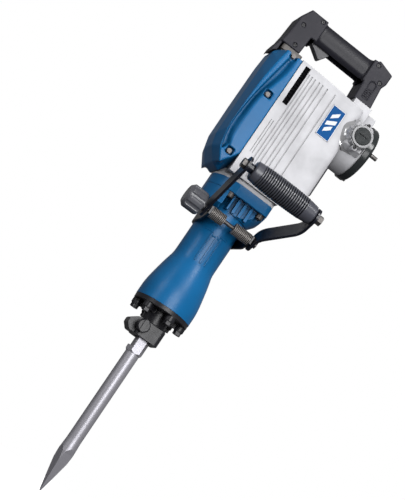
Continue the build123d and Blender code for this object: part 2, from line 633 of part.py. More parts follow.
def gear_cover():
    """Deep shell over the gear train."""
    body = cover_form() - cover_hollow()
    for side in both_sides(channel()):
        body -= side
    for x, z in COVER_BOLTS:
        pad = block(x - 10, x + 10, -COVER_SEAT, -46, z - 10, min(z + 10, COVER_TOP))
        recess = block(x - 7.6, x + 7.6, -61, -COVER_SEAT, z - 7.6, z + 7.6)
        hole = rod("y", x, z, 3.05, -COVER_SEAT - 1, -39)
        for added, recessed, drilled in zip(both_sides(pad), both_sides(recess), both_sides(hole)):
            body = body + added - recessed - drilled
    body += tube("x", 0, FIRST_Z, 12, 6.1, -106, -95) + tube("x", 0, CRANK_Z, 16, 10.1, -106, -93)
    body -= rod("x", 0, FIRST_Z, 6.1, -100, -90) + rod("x", 0, CRANK_Z, 10.1, -99, -90)
    for x, y in LEG_SCREWS:
        body -= rod("z", x, y, 3.05, 590, COVER_TOP + 1)
    return body


def cover_bolts():
    pieces = []
    for x, z in COVER_BOLTS:
        pieces += both_sides(hex_bolt("y", x, z, 3, 8.5, -COVER_SEAT, -41, 5))
    return pieces


def motor_side_cover():
    """Thin black plate on the right face of the housing, below the drum."""
    face = outline([(-46, 402), (46, 402), (46, 470), (34, 482), (-34, 482), (-46, 470)], 5)
    plate = chamfer(slab_x(face, HOUSING_RIGHT, HOUSING_RIGHT + 3.5).edges().group_by(Axis.X)[-1], 1.5)
    for y in (-24, 0, 24):
        plate -= block(HOUSING_RIGHT + 2, HOUSING_RIGHT + 4, y - 7, y + 7, 416, 458)
    return plate


def tail_screw_place(angle):
    """Centre of a tail cover screw, in y and z."""
    a = math.radians(angle)
    return TAIL_SCREW_R * math.cos(a), MOTOR_Z + TAIL_SCREW_R * math.sin(a)


def tail_cover():
    """Black end cover of the drum, which holds the rear motor bearing."""
    body = rod("x", 0, MOTOR_Z, TAIL_R, DRUM_END, TAIL_END)
    body = fillet(body.edges().group_by(Axis.X)[-1], 6)
    body -= rod("x", 0, MOTOR_Z, 48, DRUM_END - 1, TAIL_END - 5)
    body += tube("x", 0, MOTOR_Z, 21, 16, DRUM_END + 2, TAIL_END - 4)
    body -= rod("x", 0, MOTOR_Z, 38, TAIL_END - 1.5, TAIL_END + 1)
    for k in range(12):
        rib = block(TAIL_END - 2, TAIL_END - 0.5, -1.2, 1.2, 14, 38)
        body += Pos(0, 0, MOTOR_Z) * Rot(30 * k, 0, 0) * rib
    for angle in TAIL_SCREW_ANGLES:
        body -= rod("x", *tail_screw_place(angle), 2.55, DRUM_END - 1, TAIL_END + 1)
    return body


def tail_screws():
    """Cap screws through the tail cover; the one nearest the nameplate stands on a long boss."""
    screws = []
    for angle in TAIL_SCREW_ANGLES:
        head = 14 if angle == TAIL_SCREW_ANGLES[0] else 5
        screws.append(socket_screw("x", *tail_screw_place(angle), 2.5, TAIL_END, 132, head))
    return screws


def brush_caps():
    """Bakelite caps with a screwdriver slot, each in a bright threaded ring."""
    cap = rod("y", BRUSH_X, BRUSH_Z, 17.2, -86, -80)
    cap = chamfer(cap.edges().group_by(Axis.Y)[0], 1)
    cap -= block(BRUSH_X - 9, BRUSH_X + 9, -87, -84.4, BRUSH_Z - 1.2, BRUSH_Z + 1.2)
    return both_sides(cap)


def brush_rings():
    return both_sides(tube("y", BRUSH_X, BRUSH_Z, 21.6, 17.4, -84.5, -80))


def brush_screws():
    screws = []
    for z in BRUSH_SCREW_Z:
        screws += both_sides(socket_screw("y", BRUSH_X, z, 1.9, -78, -71, 4))
    return screws


def nameplate():
    return slab_y(outline([(40.7, 504), (70.5, 504), (70.5, 572), (40.7, 572)], 1.5), -61, -HOUSING_HALF)


def vent_grilles():
    """Louvred inserts deep in the two air slots."""
    frame = block(-45.5, -34.5, -56, -51.2, 511.2, 597.8)
    for k in range(11):
        z = 515 + 7.6 * k
        frame -= block(-44, -36, -57, -50, z, z + 6)
    return both_sides(frame)


# ---- D-handle -----------------------------------------------------------------------------
def handle_face(margin=0.0):
    """Side view of the D-handle, an arch over the finger gap, drawn margin inside."""
    m = margin
    points = [(-108 + m, 622 + m), (-105 + m, 645), (-102.5 + m, 686), (-90, GRIP_TOP - m),
              (-52, GRIP_TOP - m), (75, 713 - m), (79, 717 - m), (115 - m, 707 - 0.7 * m), (114.5 - m, 684),
              (110 - m, 672), (114.5 - m, 622 + m), (73 + m, 622 + m), (71 + m, GRIP_BOTTOM - m),
              (-62 - m, GRIP_BOTTOM - m), (-64 - m, 622 + m)]
    return outline(points, 2.5)


def rounding(radius, z, up):
    """What a round of this radius cuts from the grip's edge at height z; up is 1 at its bottom."""
    left, right = GRIP_X
    y, centre = radius - GRIP_HALF, z + up * radius
    low, high = sorted((z - up * 6, centre))
    return block(left, right, -GRIP_HALF - 1, y, low, high) - rod("x", y, centre, radius, left - 1, right + 1)


def handle_form():
    """Outer form of the front half of the D-handle, its grip narrower and rounded."""
    left, right = GRIP_X
    body = slab_y(handle_face(), -HANDLE_HALF, 0)
    body = chamfer(body.edges().group_by(Axis.Y)[0], 1.6)
    body -= block(left, right, -HANDLE_HALF - 1, -GRIP_HALF, 640, 730)
    return body - rounding(12, GRIP_BOTTOM, 1) - rounding(7, GRIP_TOP, -1)


def handle_shell():
    """The front half of the D-handle, hollow, with screw posts and an oblong recess."""
    left, right = GRIP_X
    form = handle_form()
    hollow = slab_y(handle_face(4), 5 - HANDLE_HALF, 1)
    body = form - (hollow - block(left - 3, right + 3, -HANDLE_HALF, 6 - GRIP_HALF, 650, 720))
    recess = outline([(84, 633), (99, 633), (99, 670), (91, 674), (84, 670)], 4)
    bars = [block(82, 101, -HANDLE_HALF, 3 - HANDLE_HALF, z, z + 1.6) for z in range(638, 656, 4)]
    body -= slab_y(recess, -30, 2.5 - HANDLE_HALF) - bars
    seam = trace(Polyline((left, 699), (8, 699), (18, 691), (right, 691)), 0.9)
    body -= slab_y(seam, -GRIP_HALF - 1, 0.8 - GRIP_HALF)
    for x, z in HANDLE_SCREWS:
        body += rod("y", x, z, 5.5, 3 - HANDLE_HALF, 0) & form
        body -= rod("y", x, z, 4.3, -1 - HANDLE_HALF, 4 - HANDLE_HALF)
        body -= rod("y", x, z, 2.05, -HANDLE_HALF, 1)
    body += rod("y", TRIGGER_X, TRIGGER_Z, 5, -16, -10.5) & form
    body += block(-45, -40, -16, -9.5, 686, 691) + block(-16, -10, -16, -9.5, 686, 691)
    body -= block(-54, -9, -10.5, 1, 652, 681)
    body -= rod("y", TRIGGER_X, TRIGGER_Z, 2, -13.5, 1)
    for x, y in LEG_SCREWS:
        body -= rod("z", x, y, 3.05, 620, LEG_FLOOR + 1)
        body -= rod("z", x, y, 5.3, LEG_FLOOR, LEG_FLOOR + 5)
    return body


def handle_tail(y0, y1):
    """Lip that hooks over the top of the gear cover."""
    return slab_y(outline([(-113.5, 592), (-110.8, 598), (-104, 602.5), (-104, 622), (-109, 622), (-113.5, 604)]), y0, y1)


def handle_left():
    return handle_shell() + handle_tail(-22, 0)


def handle_right():
    """The back half, with the cord inlet and the bore of the lock button."""
    back = mirror(handle_shell(), Plane.XZ) + handle_tail(0, 22)
    back -= rod("y", INLET_X, INLET_Z, 7, 10, 30)
    back -= rod("y", LOCK_X, LOCK_Z, 7.2, 14, 18)
    return back - rod("y", LOCK_X, LOCK_Z, 5.2, 15, 30)


def handle_screws():
    return [socket_screw("y", x, z, 2, 4 - HANDLE_HALF, 8, 2.5) for x, z in HANDLE_SCREWS]


def handle_pad():
    """Metal foot under the left leg of the D-handle."""
    left, right, half = LEFT_PAD
    foot = slab_z(outline([(left, -half), (right, -half), (right, half), (left, half)], 5), 611, 622)
    foot += block(left + 3, right - 8, -18, 18, COVER_TOP, 611)
    for x, y in LEG_SCREWS:
        foot -= rod("z", x, y, 3.05, 600, 623)
    return foot


def leg_screws():
    """Cap screws down through the floor of each handle leg."""
    return [socket_screw("z", x, y, 3, LEG_FLOOR, 600, 4) for x, y in LEG_SCREWS]


def cable_gland():
    """Cord inlet on the back of the D-handle's left leg."""
    gland = rod("y", INLET_X, INLET_Z, 6.9, 21, 30) + rod("y", INLET_X, INLET_Z, 9.5, HANDLE_HALF, 30)
    gland += turned(outline([(0, 30), (8.5, 30), (6.6, 46), (0, 46)]), "y", INLET_X, INLET_Z)
    return gland - rod("y", INLET_X, INLET_Z, 4.5, 18, 47)


def switch_unit():
    return block(-46, -8, -9.5, 9.5, 683, 700)


def trigger():
    """Wedge-shaped lever that swings up into the grip about its left end."""
    side = outline([(-52, 663), (-52, 671), (-44, 672), (-12, 675), (-10.5, 662), (-21.5, 645.5),
                    (-25, 645)], 1.2)
    lever = slab_y(side, -8.5, 8.5)
    return lever - rod("y", TRIGGER_X, TRIGGER_Z, 2.05, -10, 10)


def trigger_pin():
    return rod("y", TRIGGER_X, TRIGGER_Z, 2, -13.5, 13.5)


def lock_button():
    button = rod("y", LOCK_X, LOCK_Z, 5, 17.5, 25)
    button = fillet(button.edges().group_by(Axis.Y)[-1], 1.2)
    return button + rod("y", LOCK_X, LOCK_Z, 6.5, 15.8, 17.6)


# ---- side handle --------------------------------------------------------------------------
def clamp_band():
    """Steel strap round the back of the barrel, its two ends running forward to the bolt."""
    inner, thick = BARREL_R + 0.4, 4.0
    low, high = CLAMP_LOW, CLAMP_HIGH
    ring = tube("z", 0, 0, inner + thick, inner, low, high) & block(-60, 60, 0, 60, low, high)
    left = block(-inner - thick, -inner, CLAMP_Y - 12, 0, low, high)
    right_path = outline([(inner, 0), (inner + thick, 0), (51.5, -40), (51.5, CLAMP_Y - 12),
                          (47.5, CLAMP_Y - 12), (47.5, -40)])
    right = slab_z(right_path, low, high)
    band = ring + left + right
    side_view = outline([(60, low), (60, high), (-50, high), (CLAMP_Y - 12, CLAMP_Z + 8),
                         (CLAMP_Y - 12, CLAMP_Z - 8), (-50, low)])
    band &= slab_x(side_view, -60, 60)
    return band - rod("x", CLAMP_Y, CLAMP_Z, 4.3, -60, 60)


def ribbed_sleeve(x0, x1):
    """Spacer with coarse round ribs on the clamp bolt."""
    pitch, high, low = 3.2, 11.6, 9.6
    ribs = round((x1 - x0) / pitch)
    step = (x1 - x0) / ribs
    points = [(4.3, x0)]
    for k in range(ribs):
        start = x0 + k * step
        points += [(low, start), (high, start + step * 0.25), (high, start + step * 0.75)]
    points += [(low, x1), (4.3, x1)]
    return turned(outline(points), "x", CLAMP_Y, CLAMP_Z)


def clamp_sleeves():
    return [ribbed_sleeve(-43.2, -12), ribbed_sleeve(10, 47.3)]


def clamp_bolt():
    """Long bolt: its head is at the right arm, and the knob turns on its left end."""
    bolt = rod("x", CLAMP_Y, CLAMP_Z, 4, -88, 62)
    return bolt + hexagon("x", CLAMP_Y, CLAMP_Z, 14, 58, 64)


def clamp_knob():
    """Fluted plastic knob with a rounded end and a metal collar."""
    face = outline([(4.1, -90), (4.1, -57.6), (9, -57.6), (9, -63), (22, -63), (24, -67), (24, -93),
                    (18, -99), (0, -99), (0, -90)])
    knob = turned(face, "x", CLAMP_Y, CLAMP_Z)
    for k in range(8):
        flute = rod("x", 0, 28.5, 7, -95, -64)
        knob -= Pos(0, CLAMP_Y, CLAMP_Z) * Rot(45 * k, 0, 0) * flute
    return knob


def arm_to_world(solid):
    """Turns a solid drawn with u along +Y so that u runs up and outwards from the bolt."""
    return Pos(0, CLAMP_Y, CLAMP_Z) * Rot(180 - ARM_RISE, 0, 0) * solid


def strap(path):
    """A flat bar along a path drawn in (x, u), round at the clamp bolt and at the grip bolt."""
    bar = extrude(trace(path, ARM_THICK), ARM_WIDTH / 2, both=True)
    ends = block(-200, 200, 0, ARM_LENGTH, -ARM_WIDTH, ARM_WIDTH)
    for u in (0, ARM_LENGTH):
        ends += rod("x", u, 0, ARM_WIDTH / 2, -200, 200)
    bar &= ends
    bar -= rod("x", 0, 0, 4.08, -200, 200)
    return bar - rod("x", ARM_LENGTH, 0, 5.1, -200, 200)


def arm_left():
    """Straight strap with a spacer up to the grip."""
    bar = strap(Line((ARM_LEFT_X, -30), (ARM_LEFT_X, ARM_LENGTH + 30)))
    return arm_to_world(bar + tube("x", ARM_LENGTH, 0, 9, 5.1, ARM_LEFT_X, GRIP_LEFT - 0.3))


def arm_right():
    """Strap that bends outwards from the clamp to the far end of the grip."""
    path = FilletPolyline((ARM_LOW_X, -30), (ARM_LOW_X, 22), (ARM_HIGH_X, 92), (ARM_HIGH_X, ARM_LENGTH + 30),
                          radius=48)
    return arm_to_world(strap(path))


def grip_sleeve():
    """Ribbed rubber grip, fuller in the middle, with smooth collars."""
    ribs, left_collar, right_collar = 22, 15.0, 22.0
    first = GRIP_LEFT + left_collar
    step = (GRIP_RIGHT - right_collar - first) / ribs
    points = [(5.2, GRIP_LEFT), (16.5, GRIP_LEFT), (19.2, GRIP_LEFT + 2.5), (20.6, first)]
    for k in range(ribs):
        start = first + k * step
        crest = 21.2 + 1.5 * (1 - ((k + 0.5) / ribs * 2 - 1) ** 2)
        points += [(crest - 2.3, start + 0.1 * step), (crest, start + 0.35 * step),
                   (crest, start + 0.75 * step)]
    points += [(20.8, GRIP_RIGHT - right_collar + 0.3), (18.6, GRIP_RIGHT - 3), (16, GRIP_RIGHT),
               (5.2, GRIP_RIGHT)]
    return turned(outline(points), "x", SIDE_GRIP_Y, SIDE_GRIP_Z)


def grip_bolt():
    outer = ARM_HIGH_X + ARM_THICK / 2 + 0.1
    bolt = rod("x", SIDE_GRIP_Y, SIDE_GRIP_Z, 5, -60, outer + 8)
    bolt += hexagon("x", SIDE_GRIP_Y, SIDE_GRIP_Z, 17, -65.4, -57.6)
    bolt += rod("x", SIDE_GRIP_Y, SIDE_GRIP_Z, 11, outer, outer + 2)
    return bolt + hexagon("x", SIDE_GRIP_Y, SIDE_GRIP_Z, 17, outer + 2, outer + 11.5)


# ---- all nodes ----------------------------------------------------------------------------
def build():
    os.makedirs("parts", exist_ok=True)
    save("chisel", chisel())
    save("front_cover", front_cover())
    save("front_bolts", *front_bolts())
    save("retainer_pin", retainer_pin())
    save("tool_bush", tool_bush())
    save("anvil_guide", anvil_guide())
    save("anvil", anvil())
    save("ram", ram())
    save("ram_ring", sealing_ring(RING_LOW))
    save("cylinder_liner", cylinder_liner())
    save("piston", piston())
    save("piston_ring", sealing_ring(PISTON_PIN_Z - 20))
    save("wrist_pin", wrist_pin())
    save("connecting_rod", connecting_rod())
    save("crank_pin", crank_pin())
    save("crankshaft", crankshaft())
    save("final_gear", final_gear())
    save("first_gear", first_gear())
    save("bearings", *bearings())
    save("armature_shaft", armature_shaft())
    save("armature_core", armature_core())
    save("armature_windings", *armature_windings())
    save("commutator", commutator())
    save("cooling_fan", cooling_fan())
    save("stator_core", stator_core())
    save("field_coils", field_coils())
    save("carbon_brushes", *commutator_brushes())
    save("brush_holders", *brush_holders())
    save("brush_springs", *brush_springs())
    save("brush_caps", *brush_caps())
    save("brush_rings", *brush_rings())
    save("brush_screws", *brush_screws())
    save("cylinder_case", cylinder_case())
    save("flange_bolts", *flange_bolts())
    save("housing", housing())
    save("gear_cover", gear_cover())
    save("cover_bolts", *cover_bolts())
    save("motor_side_cover", motor_side_cover())
    save("tail_cover", tail_cover())
    save("tail_screws", *tail_screws())
    save("nameplate", nameplate())
    save("vent_grilles", *vent_grilles())
    save("handle_left", handle_left())
    save("handle_right", handle_right())
    save("handle_screws", *handle_screws())
    save("handle_pad", handle_pad())
    save("leg_screws", *leg_screws())
    save("cable_gland", cable_gland())
    save("switch_unit", switch_unit())
    save("trigger", trigger())
    save("trigger_pin", trigger_pin())
    save("lock_button", lock_button())
    save("clamp_band", clamp_band())
    save("clamp_sleeves", *clamp_sleeves())
    save("clamp_bolt", clamp_bolt())
    save("clamp_knob", clamp_knob())
    save("arm_left", arm_left())
    save("arm_right", arm_right())
    save("grip_sleeve", grip_sleeve())
    save("grip_bolt", grip_bolt())


build()
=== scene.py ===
import math

import bmesh
import bpy
from mathutils import Matrix, Vector


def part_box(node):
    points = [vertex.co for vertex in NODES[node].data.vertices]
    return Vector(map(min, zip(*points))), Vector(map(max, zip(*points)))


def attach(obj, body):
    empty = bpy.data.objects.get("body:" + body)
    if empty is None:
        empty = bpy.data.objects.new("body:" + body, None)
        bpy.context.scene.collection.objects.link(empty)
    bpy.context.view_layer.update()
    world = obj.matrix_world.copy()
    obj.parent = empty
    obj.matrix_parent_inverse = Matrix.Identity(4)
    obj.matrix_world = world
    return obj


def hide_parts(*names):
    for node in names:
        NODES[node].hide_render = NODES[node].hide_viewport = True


# An electric demolition hammer, dressed for a studio picture. Everything is in metres, in the
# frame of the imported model: Z up the tool, the nameplate on the -Y side.

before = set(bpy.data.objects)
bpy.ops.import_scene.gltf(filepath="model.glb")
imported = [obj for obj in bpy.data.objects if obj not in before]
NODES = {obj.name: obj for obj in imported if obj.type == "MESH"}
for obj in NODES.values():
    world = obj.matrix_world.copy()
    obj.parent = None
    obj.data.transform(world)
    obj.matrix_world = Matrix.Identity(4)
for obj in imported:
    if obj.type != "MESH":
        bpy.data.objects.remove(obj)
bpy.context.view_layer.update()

SURROUND = 0.30                     # strength of the backdrop as a light; the camera sees it at 1
RELIEF_DEPTH = 0.0002               # height of the grain in every finish
RUNNING_GAP = 0.0004                # room that a moulded wall leaves round a moving part

BARREL_RADIUS = 0.0430              # outside of the cylinder case under the clamp
WALL, WALL_END, DRUM = 0.0598, 0.096, 0.057         # housing side in Y, where it ends in X, drum radius
TOWER_RINGS, TOWER_SPOKES = 24, 120                 # mesh divisions of a brush tower
TOWER_NECK, TOWER_FOOT = 0.0224, 0.034              # its radius at the cap and on the wall
TOWER_SHELL, TOWER_TOP = 0.0012, 0.0045             # its thickness, and its drop below the ring

LIP_RISE, LIP_HEIGHT, LIP_STEPS = 0.0012, 0.0030, 16
LIP_TOP, LIP_DROP = 0.004, 0.006                    # below the clamp band, and the middle lip lower still
LIP_ARCS = ((-128, -104, 0.0), (-82, -58, 0.0), (-104, -82, LIP_DROP))     # degrees, degrees, drop

GRIP_LEFT, GRIP_RIGHT, GRIP_UNDER = -0.0500, 0.0680, 0.655      # the waisted part of the D-handle
GRIP_MIDDLE, GRIP_HALF = 0.687, 0.026                           # its centre and half height in Z
GRIP_FADE, GRIP_FLATNESS = 0.006, 0.62                          # blend to the legs, fullness of the crown

# Bores that a moulding must keep open: node, axis (0 is X, 1 is Y), start, stop and radius.
COVER_BORES = (("first_gear", 0, -0.0988, -0.0888, 0.0060), ("crankshaft", 0, -0.0980, -0.0888, 0.0100))
LOCK_BORES = (("lock_button", 1, 0.0150, 0.0183, 0.0065), ("lock_button", 1, 0.0183, 0.0300, 0.0050))


# ---- camera, light and floor --------------------------------------------------------------
def add_camera():
    """Stands low on the left of the nameplate side; the tool leans to the right in the picture."""
    eye = Vector((-0.4776, -2.2718, -0.297))
    target = Vector((0, 0, 0.2046))
    lean = math.radians(34.1)
    focal_in_pixels, long_side, sensor = 1263, 500, 36
    data = bpy.data.cameras.new("camera")
    data.sensor_width = sensor
    data.lens = focal_in_pixels / long_side * sensor
    camera = bpy.data.objects.new("camera", data)
    bpy.context.scene.collection.objects.link(camera)
    upright = (target - eye).to_track_quat("-Z", "Y").to_matrix().to_4x4()
    camera.matrix_world = Matrix.Translation(eye) @ upright @ Matrix.Rotation(lean, 4, "Z")
    bpy.context.scene.camera = camera


def add_light(name, place, aim, size, power):
    """A soft round lamp at a place, turned towards a point."""
    data = bpy.data.lights.new(name, "AREA")
    data.shape = "DISK"
    data.size = size
    data.energy = power
    light = bpy.data.objects.new(name, data)
    bpy.context.scene.collection.objects.link(light)
    light.location = place
    light.rotation_euler = (Vector(aim) - Vector(place)).to_track_quat("-Z", "Y").to_euler()


def add_surround(scene):
    """A white backdrop that lights the object less brightly than it looks, and from above."""
    world = bpy.data.worlds.new("surround")
    world.use_nodes = True
    nodes, links = world.node_tree.nodes, world.node_tree.links
    plain = nodes["Background"]
    plain.inputs["Color"].default_value = (1, 1, 1, 1)
    plain.inputs["Strength"].default_value = 1.0
    dim = nodes.new("ShaderNodeBackground")
    dim.inputs["Strength"].default_value = SURROUND
    ramp = nodes.new("ShaderNodeValToRGB")
    ramp.color_ramp.elements[0].position = 0.30
    ramp.color_ramp.elements[0].color = (0.28, 0.28, 0.30, 1)
    ramp.color_ramp.elements[1].position = 0.85
    ramp.color_ramp.elements[1].color = (1, 1, 1, 1)
    height = nodes.new("ShaderNodeSeparateXYZ")
    halved = nodes.new("ShaderNodeMapRange")
    halved.inputs["From Min"].default_value = -1
    links.new(nodes.new("ShaderNodeTexCoord").outputs["Generated"], height.inputs[0])
    links.new(height.outputs["Z"], halved.inputs["Value"])
    links.new(halved.outputs["Result"], ramp.inputs["Fac"])
    links.new(ramp.outputs["Color"], dim.inputs["Color"])
    choice = nodes.new("ShaderNodeMixShader")
    links.new(nodes.new("ShaderNodeLightPath").outputs["Is Camera Ray"], choice.inputs["Fac"])
    links.new(dim.outputs["Background"], choice.inputs[1])
    links.new(plain.outputs["Background"], choice.inputs[2])
    links.new(choice.outputs["Shader"], nodes["World Output"].inputs["Surface"])
    scene.world = world


def add_studio():
    """A pale floor under the chisel's point, a white surround and soft lights."""
    scene = bpy.context.scene
    scene.view_settings.view_transform = "Standard"
    add_surround(scene)
    middle = (0, 0, 0.25)
    add_light("front", (0.2, -2.6, 0.5), middle, 1.6, 62)
    add_light("key", (0.7, -1.9, 1.9), middle, 0.7, 34)
    add_light("left_fill", (-2.2, -1.2, 0.9), middle, 1.0, 12)
    add_light("back_rim", (1.2, 1.8, 1.7), middle, 1.0, 8)
    bpy.ops.mesh.primitive_grid_add(x_subdivisions=2, y_subdivisions=2, size=30)
    floor = bpy.context.object
    floor.name = "floor"
    floor.location.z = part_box("chisel")[0].z - 0.0005
    floor.visible_diffuse = False
    floor.visible_glossy = False
    floor.data.materials.append(pale_floor())


def pale_floor():
    """Near-white and matt, with a faint glow so that it meets the backdrop without a line."""
    material = surface("pale_floor", (0.93, 0.93, 0.93), 0.8, grain=40, bump=0.02)
    shader = material.node_tree.nodes["Principled BSDF"]
    shader.inputs["Emission Color"].default_value = (1, 1, 1, 1)
    shader.inputs["Emission Strength"].default_value = 1.0
    return material


# ---- materials ----------------------------------------------------------------------------
def surface(name, colour, rough, metallic=0.0, grain=900.0, bump=0.15, mottle=0.06, rough_spread=0.08,
            edge=0.0, specular=0.3, painted_shade=0.35, reach=0.006, edge_sheen_and_wear=0.0, stretch=(1, 1, 1)):
    """A procedural finish: grain in bump and roughness, slow mottling, painted shade darkening its crevices,
    and lighter edges that are painted highlight and wear.
    """
    material = bpy.data.materials.new(name)
    material.use_nodes = True
    nodes, links = material.node_tree.nodes, material.node_tree.links
    shader = nodes["Principled BSDF"]
    shader.inputs["Metallic"].default_value = metallic
    shader.inputs["Specular IOR Level"].default_value = specular
    place = nodes.new("ShaderNodeMapping")
    place.inputs["Scale"].default_value = stretch
    links.new(nodes.new("ShaderNodeTexCoord").outputs["Object"], place.inputs["Vector"])

    def noise(scale, detail=3.0):
        node = nodes.new("ShaderNodeTexNoise")
        node.inputs["Scale"].default_value = scale
        node.inputs["Detail"].default_value = detail
        links.new(place.outputs["Vector"], node.inputs["Vector"])
        return node.outputs["Fac"]

    blotch = nodes.new("ShaderNodeValToRGB")
    low = [max(0.0, c * (1 - mottle)) for c in colour]
    high = [min(1.0, c * (1 + mottle)) for c in colour]
    blotch.color_ramp.elements[0].position = 0.3
    blotch.color_ramp.elements[1].position = 0.7
    blotch.color_ramp.elements[0].color = (*low, 1)
    blotch.color_ramp.elements[1].color = (*high, 1)
    links.new(noise(24), blotch.inputs["Fac"])
    # Ambient occlusion darkens the colour in crevices, recesses and channels: painted shade.
    crevice = nodes.new("ShaderNodeAmbientOcclusion")
    crevice.samples = 6
    crevice.inputs["Distance"].default_value = reach
    shade = nodes.new("ShaderNodeMapRange")
    shade.inputs["From Min"].default_value = 0.35
    shade.inputs["From Max"].default_value = 0.95
    shade.inputs["To Min"].default_value = 1 - painted_shade
    links.new(crevice.outputs["AO"], shade.inputs["Value"])
    tint = nodes.new("ShaderNodeMix")
    tint.data_type = "RGBA"
    tint.blend_type = "MULTIPLY"
    tint.inputs["Factor"].default_value = 1.0
    links.new(blotch.outputs["Color"], tint.inputs["A"])
    links.new(shade.outputs["Result"], tint.inputs["B"])
    finish = tint.outputs["Result"]
    spread = nodes.new("ShaderNodeMapRange")
    spread.inputs["To Min"].default_value = max(0.02, rough - rough_spread)
    spread.inputs["To Max"].default_value = min(1.0, rough + rough_spread)
    links.new(noise(90, 5), spread.inputs["Value"])
    links.new(spread.outputs["Result"], shader.inputs["Roughness"])
    relief = nodes.new("ShaderNodeBump")
    relief.inputs["Strength"].default_value = bump
    relief.inputs["Distance"].default_value = RELIEF_DEPTH
    links.new(noise(grain, 4), relief.inputs["Height"])
    if edge:
        soft = nodes.new("ShaderNodeBevel")
        soft.samples = 4
        soft.inputs["Radius"].default_value = edge
        links.new(soft.outputs["Normal"], relief.inputs["Normal"])
        # Sharp edges take a lighter colour: painted highlight, and wear.
        finish = sheen_and_wear_edges(nodes, links, finish, soft.outputs["Normal"], noise(160), colour, edge_sheen_and_wear)
    links.new(finish, shader.inputs["Base Color"])
    links.new(relief.outputs["Normal"], shader.inputs["Normal"])
    return material


def sheen_and_wear_edges(nodes, links, finish, rounded, patches, colour, edge_sheen_and_wear):
    """Mixes a lighter colour into the finish, in patches, where the surface turns sharply: painted highlight
    on the edges, and wear.
    """
    turn = nodes.new("ShaderNodeVectorMath")
    turn.operation = "DOT_PRODUCT"
    links.new(rounded, turn.inputs[0])
    links.new(nodes.new("ShaderNodeNewGeometry").outputs["Normal"], turn.inputs[1])
    amount = nodes.new("ShaderNodeMapRange")
    amount.inputs["From Min"].default_value = 0.995
    amount.inputs["From Max"].default_value = 0.90
    amount.inputs["To Max"].default_value = edge_sheen_and_wear
    links.new(turn.outputs["Value"], amount.inputs["Value"])
    patchy = nodes.new("ShaderNodeMath")
    patchy.operation = "MULTIPLY"
    links.new(amount.outputs["Result"], patchy.inputs[0])
    links.new(patches, patchy.inputs[1])
    mix = nodes.new("ShaderNodeMix")
    mix.data_type = "RGBA"
    mix.inputs["B"].default_value = (*[min(1.0, c * 2 + 0.12) for c in colour], 1)
    links.new(patchy.outputs["Value"], mix.inputs["Factor"])
    links.new(finish, mix.inputs["A"])
    return mix.outputs["Result"]


def dress(material, *names):
    """Gives CAD nodes a material in every slot."""
    for name in names:
        for slot in NODES[name].material_slots:
            slot.material = material


add_camera()
add_studio()

# The occlusion darkening in these finishes is painted shade: with a 22 mm reach it shades the gear cover's
# channel, and in the grip rubber the valleys between the ribs.
BLUE = surface("blue_enamel", (0.004, 0.102, 0.262), 0.32, edge=0.0015, specular=0.22, painted_shade=0.75,
               reach=0.022, edge_sheen_and_wear=0.3)
SILVER = surface("silver_casting", (0.455, 0.455, 0.475), 0.44, grain=1400, bump=0.25, edge=0.002, painted_shade=0.6,
                 reach=0.014, edge_sheen_and_wear=0.3, specular=0.15, mottle=0.13)
BLACK_CAST = surface("black_casting", (0.012, 0.012, 0.015), 0.36, grain=500, bump=0.3, edge=0.001, edge_sheen_and_wear=0.9)
STEEL = surface("tool_steel", (0.31, 0.305, 0.335), 0.42, metallic=0.52, grain=60, bump=0.004,
                rough_spread=0.02, mottle=0.05, stretch=(1, 1, 0.05), specular=0.3)
ZINC = surface("zinc_screws", (0.10, 0.094, 0.092), 0.44, metallic=0.7, grain=900, bump=0.1)
BRIGHT = surface("bright_ring", (0.16, 0.16, 0.165), 0.42, metallic=0.5, grain=600, bump=0.05)
GROUND = surface("ground_steel", (0.50, 0.50, 0.51), 0.25, metallic=1.0, bump=0.05)
PLASTIC = surface("black_plastic", (0.022, 0.0215, 0.028), 0.46, grain=1800, bump=0.2, edge=0.0015, edge_sheen_and_wear=0.6,
                  specular=0.14)
RUBBER = surface("grip_rubber", (0.052, 0.054, 0.067), 0.30, grain=1200, bump=0.05, specular=0.42, painted_shade=0.95,
                 reach=0.004)
KNOB = surface("knob_plastic", (0.095, 0.097, 0.110), 0.26, grain=1600, bump=0.15, edge=0.001, specular=0.5)
PAD = surface("foot_casting", (0.085, 0.078, 0.073), 0.45, grain=900, bump=0.3, edge=0.0008)
TRIGGER = surface("trigger_plastic", (0.045, 0.045, 0.05), 0.38, grain=1500, bump=0.1, edge=0.0008)
STRAP = surface("strap_lacquer", (0.007, 0.008, 0.014), 0.30, grain=600, bump=0.2, edge=0.0006, specular=0.4)
SLEEVE = surface("sleeve_steel", (0.23, 0.215, 0.205), 0.52, metallic=0.45, grain=900, bump=0.08, painted_shade=0.75,
                 reach=0.003)
COPPER = surface("copper", (0.62, 0.28, 0.14), 0.35, metallic=1.0)
LAMINATE = surface("laminations", (0.25, 0.25, 0.26), 0.5, metallic=0.8, grain=2200)
BAKELITE = surface("bakelite", (0.020, 0.023, 0.024), 0.20, grain=900, bump=0.05, edge=0.0006, specular=0.25)
VENT = surface("vent_mesh", (0.004, 0.004, 0.005), 0.7, grain=1500, specular=0.03)
PLATE = surface("nameplate_film", (0.0, 0.062, 0.215), 0.40, grain=2000, bump=0.03, specular=0.06)
GRIP_FINISH = surface("grip_finish", (0.010, 0.010, 0.0145), 0.42, grain=120, bump=0.006, rough_spread=0.03,
                      specular=0.22)
PRINT = surface("white_print", (0.62, 0.64, 0.67), 0.5, grain=2000, bump=0.03, specular=0.1)
GLOSSY_SILVER = surface("glossy_casting", (0.40, 0.40, 0.41), 0.17, metallic=0.5, grain=500, bump=0.12,
                        specular=0.6, painted_shade=0.6)

